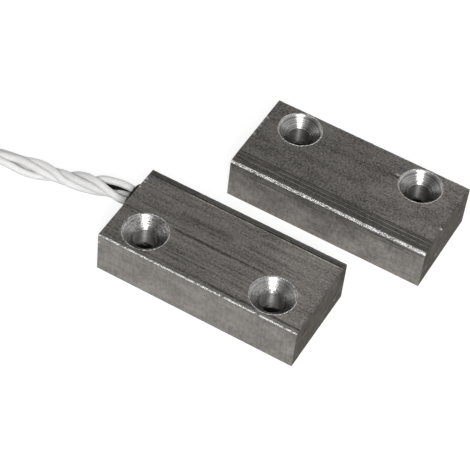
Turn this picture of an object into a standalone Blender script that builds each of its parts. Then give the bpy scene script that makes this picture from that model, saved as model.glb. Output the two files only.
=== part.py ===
"""Surface magnetic contact: a reed switch block with flying leads, and its magnet block.

Both blocks are cut from the same aluminium bar, with two countersunk screw holes on the plain
side and a blind bore near the active side. The bore of the switch block holds a glass reed
switch, its wires and a tamper loop, all cast in resin. The bore of the magnet block holds a
bar magnet behind a resin seal. The two active sides face each other across a gap.

+X runs along the blocks, +Y from the switch block to the magnet block, and +Z is up. The
origin lies on the surface that the blocks rest on, below the middle of the pair. Lengths are
in metres. What lies in a bore is described in that bore's own frame: its origin is the middle
of the mouth, +X goes into the block, and Y and Z keep their directions.
"""

from math import cos, pi, radians, sin, tan

import bmesh
import bpy
from mathutils import Matrix, Vector

MM = 0.001

# Clearances
SEAT_GAP = 0.3 * MM  # between a piece and the seat that it was pushed or laid into
CAST_GAP = 0.2 * MM  # between the resin and the bore that it was poured into
FINE_GAP = 0.1 * MM  # around wires and the reed switch, which are under 3 mm thick
PAST = 1.0 * MM  # how far a cutter reaches past the face that it opens

# The aluminium bar
BAR_LENGTH = 43.0 * MM
BAR_WIDTH = 20.0 * MM
BAR_HEIGHT = 10.0 * MM
FOOT_EDGE_RADIUS = 0.3 * MM
PLAIN_EDGE_RADIUS = 0.45 * MM
ACTIVE_EDGE_RADIUS = 0.7 * MM
TOP_STRIP_WIDTH = 1.8 * MM  # lowered strip of the top, along the active side
TOP_STRIP_DEPTH = 0.22 * MM
SIDE_STRIP_HEIGHT = 2.1 * MM  # set-back strip of the active side, below its top edge
SIDE_STRIP_DEPTH = 0.1 * MM

# How the pair lies
BLOCK_SPACING = 10.45 * MM  # clear distance between the two active sides
MAGNET_SHIFT = 11.4 * MM  # how far the magnet block lies further along +X

# Screw holes, for 4 mm countersunk screws
SCREW_BORE_DIAMETER = 4.7 * MM
COUNTERSINK_ANGLE = radians(90)
SWITCH_COUNTERSINK_DIAMETER = 9.2 * MM
SWITCH_SCREW_INSET = 5.55 * MM  # from the plain side to the hole centres
SWITCH_SCREW_NEAR = 7.1 * MM  # from the lead end to the first hole centre
SWITCH_SCREW_FAR = 8.1 * MM  # from the second hole centre to the other end
MAGNET_COUNTERSINK_DIAMETER = 9.0 * MM
MAGNET_SCREW_INSET = 5.05 * MM
MAGNET_SCREW_NEAR = 7.45 * MM
MAGNET_SCREW_FAR = 8.5 * MM

# The lengthwise bores
BORE_DIAMETER = 6.0 * MM
BORE_INSET = 5.0 * MM  # from the active side to the bore's axis
DRILL_POINT_ANGLE = radians(118)
RESIN_COVER = 0.5 * MM  # between the tamper loop and the end of the switch bore's straight wall

# The reed switch
GLASS_DIAMETER = 2.0 * MM
GLASS_WALL = 0.3 * MM
GLASS_LENGTH = 13.0 * MM
GLASS_SEAL_LENGTH = 2.0 * MM  # solid glass at each end, around the lead
GLASS_SHOULDER = 0.8 * MM  # length of the rounded ends
REED_HEIGHT = 1.3 * MM  # of the reed switch's axis above the bore's axis
POCKET_GAP = 0.25 * MM  # around the glass, where a soft coat keeps the resin off it
REED_LEAD_DIAMETER = 0.5 * MM
REED_LEAD_LENGTH = 6.0 * MM  # outside the glass, at each end
BLADE_WIDTH = 0.9 * MM
BLADE_THICKNESS = 0.18 * MM
BLADE_TAPER_LENGTH = 0.7 * MM  # where the round lead turns into the flat blade
BLADE_OVERLAP = 1.6 * MM
CONTACT_GAP = 0.15 * MM

# The wires
WIRE_DIAMETER = 1.5 * MM
CORE_DIAMETER = 0.5 * MM
JOINT_LENGTH = 3.4 * MM  # soldered lap joint of a wire's core on a reed lead
JOINT_WALL = 0.15 * MM
CORE_RISE = 2.0 * MM  # length over which the far core climbs to the reed lead
CORE_BELOW_LEAD = 0.65 * MM  # centre to centre in a joint
FAR_WIRE_HEIGHT = -1.25 * MM  # of the far wire, which passes under the glass
LOOP_HALF_WIDTH = 1.65 * MM
LOOP_HEIGHT = -0.3 * MM

# The resin
NOSE_LENGTH = 1.4 * MM  # how far the resin stands proud of the lead end
NOSE_EDGE_RADIUS = 0.4 * MM
SEAL_RECESS = 0.3 * MM  # of the magnet block's seal, below its end face

# The magnet
MAGNET_LENGTH = 25.0 * MM
MAGNET_CHAMFER = 0.3 * MM

# The leads: four wires twisted into one bundle
BUNDLE_DIAMETER = 3.6 * MM
LEAD_REST_GAP = 0.05 * MM  # below the bundle where it lies on the surface
COIL_OUTER_TURN_RADIUS = 20.0 * MM
COIL_TURN_PITCH = 3.7 * MM
TAIL_BEND_RADIUS = 9.0 * MM
TAIL_BEND_START = 85  # degrees of the last bend, where the tail has left the coil
TAIL_BEND_END = 135
COIL_END_ANGLE = -45  # degrees, where the inner turn starts its last bend
WIRE_COUNT = 4  # two of the reed switch and the two ends of the tamper loop
STRIPPED_LENGTH = 6.0 * MM
STRIPPED_SPACING = 1.6 * MM

# The bundle's route from the lead end to the coil: distance from the end face, sideways from
# the bore's axis, and how much of the drop from the bore to the surface is behind it.
LEAD_ROUTE = [
    (1.7, 0.00, 0.00),
    (5.2, -0.05, 0.03),
    (9.1, -0.50, 0.16),
    (13.1, -0.80, 0.45),
    (17.1, -1.10, 0.74),
    (20.8, -1.55, 0.93),
    (24.7, -2.20, 1.00),
    (28.0, -2.65, 1.00),
    (30.6, -3.00, 1.00),
    (38.0, -3.45, 1.00),
    (48.0, -3.60, 1.00),
    (58.0, -3.60, 1.00),
    (70.8, -3.60, 1.00),
]

# Facets
ROUND_STEPS = 48
SMALL_STEPS = 20
WIRE_RESOLUTION = 2  # bevel resolution of the wires
CORE_RESOLUTION = 4  # and of the holes for their cores
EDGE_STEPS = 5
TAPER_STEPS = 6  # along the capsule's rounded ends and the blade's taper
CLIMB_STEPS = 8
BEND_STEPS = 10
LOOP_STEPS = 14
SHARP_ANGLE = radians(32)  # edges sharper than this are not shaded smooth

# Values that follow from the sizes above
WELD = 0.001 * MM
PAIR_WIDTH = 2 * BAR_WIDTH + BLOCK_SPACING
SWITCH_CORNER = Vector(((NOSE_LENGTH - MAGNET_SHIFT - BAR_LENGTH) / 2, -PAIR_WIDTH / 2, 0))
MAGNET_CORNER = SWITCH_CORNER + Vector((MAGNET_SHIFT, BAR_WIDTH + BLOCK_SPACING, 0))
SWITCH_MOUTH = SWITCH_CORNER + Vector((0, BAR_WIDTH - BORE_INSET, BAR_HEIGHT / 2))
MAGNET_MOUTH = MAGNET_CORNER + Vector((0, BORE_INSET, BAR_HEIGHT / 2))
BORE_RADIUS = BORE_DIAMETER / 2
MAGNET_START = (BAR_LENGTH - MAGNET_LENGTH) / 2
MAGNET_BORE_DEPTH = MAGNET_START + MAGNET_LENGTH + SEAT_GAP
RESIN_RADIUS = BORE_RADIUS - CAST_GAP
REED_CENTRE = BAR_LENGTH / 2
GLASS_START = REED_CENTRE - GLASS_LENGTH / 2
GLASS_END = REED_CENTRE + GLASS_LENGTH / 2
LEAD_START = GLASS_START - REED_LEAD_LENGTH
LEAD_END = GLASS_END + REED_LEAD_LENGTH
WIRE_RADIUS = WIRE_DIAMETER / 2
CORE_RADIUS = CORE_DIAMETER / 2
NEAR_WIRE_HEIGHT = REED_HEIGHT - CORE_BELOW_LEAD
NEAR_JOINT = LEAD_START + REED_LEAD_LENGTH / 2
FAR_JOINT = LEAD_END - REED_LEAD_LENGTH / 2
LOOP_TURN_START = LEAD_END + CORE_DIAMETER
RESIN_END = LOOP_TURN_START + LOOP_HALF_WIDTH + WIRE_RADIUS + RESIN_COVER
SWITCH_BORE_DEPTH = RESIN_END + CAST_GAP


def collection(name):
    """A new collection in the scene."""
    made = bpy.data.collections.new(name)
    bpy.context.scene.collection.children.link(made)
    return made


for old in list(bpy.data.objects):
    bpy.data.objects.remove(old)

PARTS = collection("surface_magnetic_contact")
CUTTERS = collection("cutters")


def material(name, colour, roughness, metallic=0.0):
    """A Principled material."""
    made = bpy.data.materials.new(name)
    made.use_nodes = True
    shader = made.node_tree.nodes["Principled BSDF"]
    shader.inputs["Base Color"].default_value = (*colour, 1)
    shader.inputs["Roughness"].default_value = roughness
    shader.inputs["Metallic"].default_value = metallic
    return made


ALUMINIUM = material("bar_aluminium", (0.42, 0.41, 0.40), 0.42, 1.0)
RESIN = material("black_resin", (0.02, 0.02, 0.02), 0.25)
GLASS = material("reed_glass", (0.55, 0.70, 0.60), 0.05)
BLADE = material("nickel_iron", (0.60, 0.58, 0.54), 0.3, 1.0)
SOLDER = material("solder", (0.68, 0.68, 0.70), 0.3, 1.0)
INSULATION = material("white_insulation", (0.85, 0.85, 0.84), 0.35)
COPPER = material("tinned_copper", (0.72, 0.70, 0.68), 0.3, 1.0)
MAGNET = material("cast_magnet", (0.33, 0.32, 0.31), 0.45, 1.0)


def place(name, mesh, look, matrix=Matrix()):
    """One named piece of the object, or a cutter where no material is given."""
    piece = bpy.data.objects.new(name, mesh)
    piece.matrix_world = matrix
    if look:
        mesh.materials.append(look)
        PARTS.objects.link(piece)
    else:
        piece.hide_render = True
        piece.display_type = "WIRE"
        CUTTERS.objects.link(piece)
    return piece


def smooth(mesh):
    """Shade round faces smooth and keep the real edges sharp."""
    mesh.shade_smooth()
    mesh.set_sharp_from_angle(angle=SHARP_ANGLE)


def welded(mesh):
    """The mesh with its loose caps joined and its faces pointing out."""
    work = bmesh.new()
    work.from_mesh(mesh)
    bmesh.ops.remove_doubles(work, verts=work.verts, dist=WELD)
    bmesh.ops.recalc_face_normals(work, faces=work.faces)
    work.to_mesh(mesh)
    work.free()
    smooth(mesh)
    return mesh


def from_curve(name, curve, look, matrix=Matrix()):
    """A piece made of a curve, as a closed mesh."""
    guide = bpy.data.objects.new(name + "_curve", curve)
    CUTTERS.objects.link(guide)
    guide.matrix_world = matrix
    shown = guide.evaluated_get(bpy.context.evaluated_depsgraph_get())
    mesh = welded(bpy.data.meshes.new_from_object(shown))
    mesh.name = name
    bpy.data.objects.remove(guide)
    bpy.data.curves.remove(curve)
    return place(name, mesh, look, matrix)


def tube(name, points, radius, look, shares=None, resolution=WIRE_RESOLUTION):
    """A round wire along the points. shares scales the radius at each point."""
    curve = bpy.data.curves.new(name, "CURVE")
    curve.dimensions = "3D"
    curve.bevel_depth = radius
    curve.bevel_resolution = resolution
    curve.use_fill_caps = True
    spline = curve.splines.new("POLY")
    spline.points.add(len(points) - 1)
    for at, point, share in zip(spline.points, points, shares or [1] * len(points)):
        at.co = (*point, 1)
        at.radius = share
    return from_curve(name, curve, look)


def bar(name, outline, length, look, corner):
    """A bar extruded along +X from its outline of (y, z) points."""
    curve = bpy.data.curves.new(name, "CURVE")
    curve.dimensions = "2D"
    curve.fill_mode = "BOTH"
    curve.extrude = length / 2
    spline = curve.splines.new("POLY")
    spline.points.add(len(outline) - 1)
    for at, (y, z) in zip(spline.points, outline):
        at.co = (y, z, 0, 1)
    spline.use_cyclic_u = True
    # The outline's own x, y and z become the world's Y, Z and X.
    lay_down = Matrix(((0, 0, 1, 0), (1, 0, 0, 0), (0, 1, 0, 0), (0, 0, 0, 1)))
    middle = Matrix.Translation(corner + Vector((length / 2, 0, 0)))
    return from_curve(name, curve, look, middle @ lay_down)


def turned(name, profile, look, at, along_x=True, steps=ROUND_STEPS):
    """A turned piece from (along, radius) points, with its axis along +X or +Z."""
    mesh = bpy.data.meshes.new(name)
    # From the far end to the near end, so that the outer side faces out.
    points = [(radius, 0, along) for along, radius in reversed(profile)]
    closed = profile[0] == profile[-1]
    if closed:
        points.pop()
    edges = [(i, i + 1) for i in range(len(points) - 1)]
    if closed:
        edges.append((len(points) - 1, 0))
    mesh.from_pydata(points, edges, [])
    turn = Matrix.Rotation(pi / 2, 4, "Y") if along_x else Matrix()
    piece = place(name, mesh, look, Matrix.Translation(at) @ turn)
    screw = piece.modifiers.new("turn", "SCREW")
    screw.steps = steps
    screw.render_steps = steps
    screw.use_merge_vertices = True
    screw.merge_threshold = WELD
    screw.use_smooth_shade = True
    return piece


def cut(piece, *cutters):
    """Take the cutters' shapes out of the piece."""
    for cutter in cutters:
        step = piece.modifiers.new("cut_" + cutter.name, "BOOLEAN")
        step.operation = "DIFFERENCE"
        step.solver = "EXACT"
        step.object = cutter


def arc(centre, radius, start, end, steps=EDGE_STEPS):
    """Points of an arc about the centre, between two angles in degrees."""
    across, up = centre
    angles = [radians(start + (end - start) * i / steps) for i in range(steps + 1)]
    return [(across + radius * cos(a), up + radius * sin(a)) for a in angles]


def bar_outline():
    """The bar's section, from the plain side at 0 to the active side at the bar's width.

    The active side's top edge is a rail set a little below the top and behind the side.
    """
    foot = FOOT_EDGE_RADIUS
    plain = PLAIN_EDGE_RADIUS
    active = ACTIVE_EDGE_RADIUS
    rail_y = BAR_WIDTH - SIDE_STRIP_DEPTH
    rail_z = BAR_HEIGHT - TOP_STRIP_DEPTH
    step_z = BAR_HEIGHT - SIDE_STRIP_HEIGHT
    step_y = BAR_WIDTH - TOP_STRIP_WIDTH
    return [
        *arc((foot, foot), foot, 180, 270),
        *arc((BAR_WIDTH - foot, foot), foot, 270, 360),
        (BAR_WIDTH, step_z - SIDE_STRIP_DEPTH),
        (rail_y, step_z),
        *arc((rail_y - active, rail_z - active), active, 0, 90),
        (step_y, rail_z),
        (step_y - TOP_STRIP_DEPTH, BAR_HEIGHT),
        *arc((plain, BAR_HEIGHT - plain), plain, 90, 180),
    ]


def screw_cutter(name, x, y, countersink_diameter):
    """A through hole with its countersink in the top face."""
    bore = SCREW_BORE_DIAMETER / 2
    rim = countersink_diameter / 2
    slope = tan(COUNTERSINK_ANGLE / 2)
    sink_depth = (rim - bore) / slope
    profile = [
        (-PAST, 0),
        (-PAST, bore),
        (BAR_HEIGHT - sink_depth, bore),
        (BAR_HEIGHT + PAST, rim + PAST * slope),
        (BAR_HEIGHT + PAST, 0),
    ]
    return turned(name, profile, None, Vector((x, y, 0)), along_x=False)


def bore_cutter(name, mouth, depth):
    """A blind bore from the mouth, with the drill's point at its end."""
    point = BORE_RADIUS / tan(DRILL_POINT_ANGLE / 2)
    profile = [(-PAST, 0), (-PAST, BORE_RADIUS), (depth, BORE_RADIUS), (depth + point, 0)]
    return turned(name, profile, None, mouth)


def housing(name, corner, mouth, depth, sink, inset, near, far, active_front=False):
    """One block: the bar with its two screw holes and its blind bore.

    sink is the countersinks' diameter. inset is from the plain side to the hole centres, near and
    far from the two ends to the nearest one. active_front turns the active side to the front.
    """
    outline = bar_outline()
    screw_y = inset
    if active_front:
        outline = [(BAR_WIDTH - y, z) for y, z in reversed(outline)]
        screw_y = BAR_WIDTH - inset
    block = bar(name, outline, BAR_LENGTH, ALUMINIUM, corner)
    for hole, along in enumerate((near, BAR_LENGTH - far), start=1):
        at = corner.x + along, corner.y + screw_y
        cut(block, screw_cutter(f"{name}_screw_{hole}", *at, sink))
    cut(block, bore_cutter(name + "_bore", mouth, depth))
    return block


def in_bore(mouth, points):
    """Points of a bore's own frame, in the world."""
    return [mouth + Vector(point) for point in points]


def eased(share):
    """Smooth step from 0 to 1."""
    return share * share * (3 - 2 * share)


def near_wire_route(start):
    """The wire whose core lies under the near lead: straight in at one height."""
    end_of_insulation = LEAD_START - FINE_GAP
    core_end = NEAR_JOINT + JOINT_LENGTH / 2
    marks = [start, end_of_insulation, end_of_insulation + FINE_GAP, core_end]
    core = CORE_DIAMETER / WIRE_DIAMETER
    return [(x, 0, NEAR_WIRE_HEIGHT) for x in marks], [1, 1, core, core]


def far_wire_route(start):
    """The wire that passes under the glass, then climbs to lie under the far lead."""
    end_of_insulation = FAR_JOINT - JOINT_LENGTH / 2 - CORE_RISE
    climb = NEAR_WIRE_HEIGHT - FAR_WIRE_HEIGHT
    points = [(start, 0, FAR_WIRE_HEIGHT), (end_of_insulation - FINE_GAP, 0, FAR_WIRE_HEIGHT)]
    shares = [1, 1]
    for i in range(CLIMB_STEPS + 1):
        share = i / CLIMB_STEPS
        height = FAR_WIRE_HEIGHT + climb * eased(share)
        points.append((end_of_insulation + share * CORE_RISE, 0, height))
    points.append((FAR_JOINT + JOINT_LENGTH / 2, 0, NEAR_WIRE_HEIGHT))
    shares += [CORE_DIAMETER / WIRE_DIAMETER] * (len(points) - 2)
    return points, shares


def loop_route(start):
    """The tamper loop: in on one side of the bore, round behind the reed switch and back."""
    bend = arc((LOOP_TURN_START, 0), LOOP_HALF_WIDTH, -90, 90, steps=LOOP_STEPS)
    flat = [(start, -LOOP_HALF_WIDTH), *bend, (start, LOOP_HALF_WIDTH)]
    return [(x, y, LOOP_HEIGHT) for x, y in flat]


def glass_profile():
    """The capsule's wall, outside and inside, as one closed outline of (along, radius) points."""
    outer = GLASS_DIAMETER / 2
    inner = outer - GLASS_WALL
    hole = REED_LEAD_DIAMETER / 2 + FINE_GAP
    bulge = outer - hole
    shares = [i / TAPER_STEPS for i in range(TAPER_STEPS + 1)]
    turns = [pi / 2 * share for share in shares]
    nose = [(GLASS_SHOULDER * (1 - cos(turn)), hole + bulge * sin(turn)) for turn in turns]
    throat = [
        (GLASS_SEAL_LENGTH + GLASS_SHOULDER * share, hole + (inner - hole) * eased(share))
        for share in shares
    ]
    tail = [(GLASS_LENGTH - x, r) for x, r in reversed(nose)]
    far_throat = [(GLASS_LENGTH - x, r) for x, r in throat]
    return [*nose, *tail, *far_throat, *reversed(throat), nose[0]]


def blade(name, side):
    """One reed: a round lead, rolled flat inside the glass. side is -1 for the near one."""
    radius = REED_LEAD_DIAMETER / 2
    length = REED_LEAD_LENGTH + (GLASS_LENGTH + BLADE_OVERLAP) / 2
    flat_start = REED_LEAD_LENGTH + GLASS_SEAL_LENGTH
    mesh = bpy.data.meshes.new(name)
    work = bmesh.new()
    bmesh.ops.create_cone(
        work, cap_ends=True, segments=SMALL_STEPS, radius1=radius, radius2=radius, depth=length
    )
    bmesh.ops.translate(work, verts=work.verts, vec=(0, 0, length / 2))
    for i in range(TAPER_STEPS + 1):
        ring = Vector((0, 0, flat_start + BLADE_TAPER_LENGTH * i / TAPER_STEPS))
        faces = [*work.verts, *work.edges, *work.faces]
        bmesh.ops.bisect_plane(work, geom=faces, plane_co=ring, plane_no=(0, 0, 1), dist=WELD)
    offset = -side * (CONTACT_GAP + BLADE_THICKNESS) / 2
    for vertex in work.verts:
        share = eased(min(max((vertex.co.z - flat_start) / BLADE_TAPER_LENGTH, 0), 1))
        thin = 1 + share * (BLADE_THICKNESS / REED_LEAD_DIAMETER - 1)
        wide = 1 + share * (BLADE_WIDTH / REED_LEAD_DIAMETER - 1)
        vertex.co.x = vertex.co.x * thin + share * offset
        vertex.co.y *= wide
    # The rod's own x and z become the reed switch's up and lengthwise directions.
    work.transform(Matrix(((0, 0, 1), (0, -1, 0), (1, 0, 0))).to_4x4())
    if side > 0:
        work.transform(Matrix.Rotation(pi, 4, "Z"))
    work.to_mesh(mesh)
    work.free()
    smooth(mesh)
    end = LEAD_START if side < 0 else LEAD_END
    at = SWITCH_MOUTH + Vector((end, 0, REED_HEIGHT))
    return place(name, mesh, BLADE, Matrix.Translation(at))


def joint_bead(name, along):
    """The solder around a lap joint, as an ellipsoid."""
    half_height = CORE_BELOW_LEAD / 2 + CORE_RADIUS + FINE_GAP + JOINT_WALL
    half_width = CORE_RADIUS + FINE_GAP + JOINT_WALL
    size = Matrix.Diagonal((JOINT_LENGTH / 2, half_width, half_height, 1))
    mesh = bpy.data.meshes.new(name)
    work = bmesh.new()
    bmesh.ops.create_uvsphere(
        work, u_segments=SMALL_STEPS, v_segments=SMALL_STEPS // 2, radius=1, matrix=size
    )
    work.to_mesh(mesh)
    work.free()
    smooth(mesh)
    at = SWITCH_MOUTH + Vector((along, 0, REED_HEIGHT - CORE_BELOW_LEAD / 2))
    return place(name, mesh, SOLDER, Matrix.Translation(at))


def wire_channel(name, points, shares=None):
    """A cutter around a wire, with the wire's own route."""
    clear = WIRE_RADIUS + FINE_GAP
    core = (CORE_RADIUS + FINE_GAP) / clear
    wide = [core if share < 1 else 1 for share in shares or [1] * len(points)]
    return tube(name, in_bore(SWITCH_MOUTH, points), clear, None, shares=wide)


def rod_cutter(name, start, end, radius):
    """A round cutter along the reed switch's axis."""
    profile = [(start, 0), (start, radius), (end, radius), (end, 0)]
    return turned(name, profile, None, SWITCH_MOUTH + Vector((0, 0, REED_HEIGHT)), steps=SMALL_STEPS)


def reed_and_wires():
    """What the resin of the switch block is cast around."""
    inside_nose = SEAT_GAP - NOSE_LENGTH
    axis = SWITCH_MOUTH + Vector((GLASS_START, 0, REED_HEIGHT))
    turned("reed_glass", glass_profile(), GLASS, axis, steps=SMALL_STEPS)
    blade("reed_blade_near", -1)
    blade("reed_blade_far", 1)
    near, near_shares = near_wire_route(inside_nose)
    tube("reed_wire_near", in_bore(SWITCH_MOUTH, near), WIRE_RADIUS, INSULATION, near_shares)
    far, far_shares = far_wire_route(inside_nose)
    tube("reed_wire_far", in_bore(SWITCH_MOUTH, far), WIRE_RADIUS, INSULATION, far_shares)
    loop = in_bore(SWITCH_MOUTH, loop_route(inside_nose))
    tube("tamper_loop_wire", loop, WIRE_RADIUS, INSULATION)
    for name, along in (("solder_joint_near", NEAR_JOINT), ("solder_joint_far", FAR_JOINT)):
        bead = joint_bead(name, along)
        ends = (along - JOINT_LENGTH, along + JOINT_LENGTH)
        lead = rod_cutter(name + "_lead", *ends, REED_LEAD_DIAMETER / 2 + FINE_GAP)
        core_points = in_bore(SWITCH_MOUTH, [(x, 0, NEAR_WIRE_HEIGHT) for x in ends])
        core_hole = CORE_RADIUS + FINE_GAP
        core = tube(name + "_core", core_points, core_hole, None, resolution=CORE_RESOLUTION)
        cut(bead, lead, core)


def switch_resin():
    """The casting that fills the switch bore and stands proud of the lead end."""
    edge = NOSE_EDGE_RADIUS
    nose = arc((edge - NOSE_LENGTH, RESIN_RADIUS - edge), edge, 180, 90)
    point = RESIN_RADIUS / tan(DRILL_POINT_ANGLE / 2)
    profile = [(-NOSE_LENGTH, 0), *nose, (RESIN_END, RESIN_RADIUS), (RESIN_END + point, 0)]
    resin = turned("switch_resin", profile, RESIN, SWITCH_MOUTH)
    outside = -NOSE_LENGTH - PAST
    near_end = LEAD_START + PAST  # inside the reed switch's pocket
    near = [(outside, 0, NEAR_WIRE_HEIGHT), (near_end, 0, NEAR_WIRE_HEIGHT)]
    pocket = (LEAD_START - FINE_GAP, LEAD_END + FINE_GAP, GLASS_DIAMETER / 2 + POCKET_GAP)
    cut(
        resin,
        rod_cutter("reed_pocket", *pocket),
        wire_channel("near_channel", near),
        wire_channel("far_channel", *far_wire_route(outside)),
        wire_channel("loop_channel", loop_route(outside)),
    )


def magnet_and_seal():
    """The bar magnet in its bore, and the resin that closes the mouth."""
    radius = BORE_RADIUS - SEAT_GAP
    end = MAGNET_START + MAGNET_LENGTH
    profile = [
        (MAGNET_START, 0),
        (MAGNET_START, radius - MAGNET_CHAMFER),
        (MAGNET_START + MAGNET_CHAMFER, radius),
        (end - MAGNET_CHAMFER, radius),
        (end, radius - MAGNET_CHAMFER),
        (end, 0),
    ]
    turned("bar_magnet", profile, MAGNET, MAGNET_MOUTH)
    inner_face = MAGNET_START - SEAT_GAP
    seal = [(SEAL_RECESS, 0), (SEAL_RECESS, RESIN_RADIUS), (inner_face, RESIN_RADIUS), (inner_face, 0)]
    turned("magnet_seal", seal, RESIN, MAGNET_MOUTH)


def through(points, spacing):
    """A smooth curve through the points, as points about the spacing apart."""
    ends = [2 * points[0] - points[1], *points, 2 * points[-1] - points[-2]]
    made = []
    for before, start, end, after in zip(ends, ends[1:], ends[2:], ends[3:]):
        steps = max(1, round((end - start).length / spacing))
        for i in range(steps):
            t = i / steps
            made.append(
                0.5
                * (
                    2 * start
                    + (end - before) * t
                    + (2 * before - 5 * start + 4 * end - after) * t**2
                    + (3 * start - before - 3 * end + after) * t**3
                )
            )
    return [*made, points[-1]]


def lead_height(dropped):
    """The height of the bundle's centre after a share of its drop from the bore."""
    resting = BUNDLE_DIAMETER / 2 + LEAD_REST_GAP
    return SWITCH_MOUTH.z + (resting - SWITCH_MOUTH.z) * dropped


def lead_point(along, sideways, dropped):
    """A point of the bundle's route, in the world."""
    at = SWITCH_MOUTH + Vector((-along * MM, sideways * MM, 0))
    return Vector((at.x, at.y, lead_height(dropped)))


def leads():
    """The twisted bundle: its run to the coil, the coil, the tail and four stripped ends."""
    radius = BUNDLE_DIAMETER / 2
    resting = lead_height(1)
    route = [lead_point(*mark) for mark in LEAD_ROUTE]
    centre = route[-1] + Vector((0, COIL_OUTER_TURN_RADIUS, 0))
    outer = COIL_OUTER_TURN_RADIUS + radius
    inner_turn = COIL_OUTER_TURN_RADIUS - COIL_TURN_PITCH
    inner = inner_turn - radius

    # Two turns side by side fill a ring whose section has round ends.
    rim = arc((0, outer - radius), radius, 180, 0, steps=CLIMB_STEPS)
    hollow = arc((0, inner + radius), radius, 360, 180, steps=CLIMB_STEPS)
    turned("lead_coil", [*rim, *hollow, rim[0]], INSULATION, centre, along_x=False)
    reach = radius + PAST
    clear = outer + SEAT_GAP
    disc = [(-reach, 0), (-reach, clear), (reach, clear), (reach, 0)]
    cutter = turned("around_coil", disc, None, centre, along_x=False)
    run = tube("lead_bundle", through(route, BUNDLE_DIAMETER / 2), radius, INSULATION)
    cut(run, cutter)

    # The tail turns off the inner turn with a tighter bend of its own.
    start = radians(COIL_END_ANGLE)
    hub = centre + (inner_turn - TAIL_BEND_RADIUS) * Vector((cos(start), sin(start), 0))
    bend = arc(
        (hub.x, hub.y),
        TAIL_BEND_RADIUS,
        COIL_END_ANGLE - TAIL_BEND_START,
        COIL_END_ANGLE - TAIL_BEND_END,
        steps=BEND_STEPS,
    )
    tail = [Vector((x, y, resting)) for x, y in bend]
    tube("lead_tail", tail, radius, INSULATION)
    heading = radians(COIL_END_ANGLE - TAIL_BEND_END)
    ahead = Vector((sin(heading), -cos(heading), 0))
    aside = Vector((-ahead.y, ahead.x, 0))
    for wire in range(WIRE_COUNT):
        across = (wire - (WIRE_COUNT - 1) / 2) * STRIPPED_SPACING
        first = tail[-1] + SEAT_GAP * ahead + across * aside
        first.z = WIRE_RADIUS + LEAD_REST_GAP
        ends = [first, first + STRIPPED_LENGTH * ahead]
        tube(f"stripped_end_{wire + 1}", ends, CORE_RADIUS, COPPER)


housing(
    "switch_housing",
    corner=SWITCH_CORNER,
    mouth=SWITCH_MOUTH,
    depth=SWITCH_BORE_DEPTH,
    sink=SWITCH_COUNTERSINK_DIAMETER,
    inset=SWITCH_SCREW_INSET,
    near=SWITCH_SCREW_NEAR,
    far=SWITCH_SCREW_FAR,
)
reed_and_wires()
switch_resin()
housing(
    "magnet_housing",
    corner=MAGNET_CORNER,
    mouth=MAGNET_MOUTH,
    depth=MAGNET_BORE_DEPTH,
    sink=MAGNET_COUNTERSINK_DIAMETER,
    inset=MAGNET_SCREW_INSET,
    near=MAGNET_SCREW_NEAR,
    far=MAGNET_SCREW_FAR,
    active_front=True,
)
magnet_and_seal()
leads()
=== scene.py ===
# %% [markdown]
# # A surface magnetic contact, dressed for its picture
#
# The object is a pair of blocks cut from flat aluminium bar. One holds a reed switch and has four
# twisted white wires at its end, the other holds a magnet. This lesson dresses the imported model,
# which is never moved. Lengths are in millimetres, and become metres where a mesh is made.

import bmesh
import bpy
import numpy as np
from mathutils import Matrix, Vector


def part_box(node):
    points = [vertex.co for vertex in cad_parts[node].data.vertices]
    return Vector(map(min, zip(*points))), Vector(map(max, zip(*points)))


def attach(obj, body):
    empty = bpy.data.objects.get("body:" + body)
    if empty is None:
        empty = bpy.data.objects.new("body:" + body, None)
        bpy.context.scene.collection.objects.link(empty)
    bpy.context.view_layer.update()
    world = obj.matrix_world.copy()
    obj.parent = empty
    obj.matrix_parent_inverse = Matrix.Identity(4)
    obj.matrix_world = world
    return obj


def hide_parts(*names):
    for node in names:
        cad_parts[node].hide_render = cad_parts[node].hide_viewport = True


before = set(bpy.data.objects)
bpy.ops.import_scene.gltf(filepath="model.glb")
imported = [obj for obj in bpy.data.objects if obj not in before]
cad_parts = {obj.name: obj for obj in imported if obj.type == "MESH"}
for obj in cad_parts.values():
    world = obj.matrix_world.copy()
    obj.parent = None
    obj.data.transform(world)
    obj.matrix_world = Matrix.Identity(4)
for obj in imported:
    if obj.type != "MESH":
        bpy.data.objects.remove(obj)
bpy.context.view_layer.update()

MM = 0.001

# %% [markdown]
# ## Where things are
#
# The corner of each block is read from its solid, and the sizes are the solids' own. Both blocks
# are described in the same way: "along" runs from the lead end, "across" from the plain side to
# the active side, and "up" from the underside. The magnet block has its active side at the front,
# so there "across" runs towards the viewer.

# %% Sizes of the bar
LENGTH = 43.0
WIDTH = 20.0
HEIGHT = 10.0
FOOT_RADIUS = 0.15
PLAIN_RADIUS = 0.45
ACTIVE_RADIUS = 0.7
RAIL_RADIUS = 0.15
RAIL_WIDTH = 1.45
RAIL_DEPTH = 0.1
SLOPE_DEPTH = 0.22
SIDE_RAIL_HEIGHT = 2.1
SIDE_RAIL_DEPTH = 0.03
SCREW_RADIUS = 2.35
BORE_RADIUS = 3.0
BORE_AT = (15.0, 5.0)  # across and up
DRILL_POINT = 1.8
NOSE_LENGTH = 1.4

SWITCH = {
    "node": "switch_housing",
    "corner": np.array(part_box("switch_housing")[0]) / MM,
    "screws": [(7.1, 5.55), (34.9, 5.55)],
    "sink_radius": 4.6,
    "ring_height": 0.005,
    "bore_depth": 37.6,
    "active_front": False,
}
MAGNET = {
    "node": "magnet_housing",
    "corner": np.array(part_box("magnet_housing")[0]) / MM,
    "screws": [(7.45, 5.05), (34.5, 5.05)],
    "sink_radius": 4.5,
    "ring_height": 0.016,
    "bore_depth": 34.3,
    "active_front": True,
}
for block in (SWITCH, MAGNET):
    print(block["node"], "corner at", block["corner"].round(3))

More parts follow.
